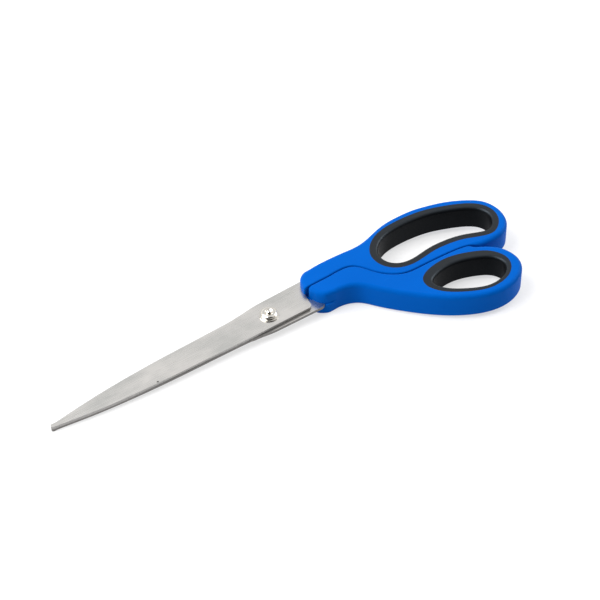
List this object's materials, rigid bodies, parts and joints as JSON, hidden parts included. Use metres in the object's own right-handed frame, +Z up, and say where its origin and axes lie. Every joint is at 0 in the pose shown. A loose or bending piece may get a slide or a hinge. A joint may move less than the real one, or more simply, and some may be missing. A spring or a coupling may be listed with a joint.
{
  "type": "office scissors",
  "caption": "Office scissors with riveted steel blades, blue plastic handles and black soft linings in the finger loops, shut.",
  "frame": {"origin": "middle of the shut scissors' footprint, on the plane that the underside of the handles lies in", "axes": "+X from the blade tips towards the finger loops along the blades, +Y from the small loop towards the large loop, +Z up along the hinge axis, towards the peened end of the rivet"},
  "size_m": [0.2554, 0.073, 0.013],
  "materials": {
    "blade_steel": "fine satin",
    "rivet_metal": "polished nickel",
    "handle_plastic": "satin",
    "grip_rubber": "matte with a soft sheen"
  },
  "bodies": {
    "lower_half": {"lower_blade": "blade_steel", "small_loop_handle": "handle_plastic", "small_loop_grip": "grip_rubber", "rivet": "rivet_metal", "rivet_washer": "rivet_metal"},
    "upper_half": {"upper_blade": "blade_steel", "large_loop_handle": "handle_plastic", "large_loop_grip": "grip_rubber"}
  },
  "joints": [
    {"name": "pivot", "type": "hinge", "parent": "lower_half", "child": "upper_half", "pos_m": [-0.00738, 0.0206, 0.0065], "axis": [0, 0, 1], "range_deg": [0, 90]}
  ]
}
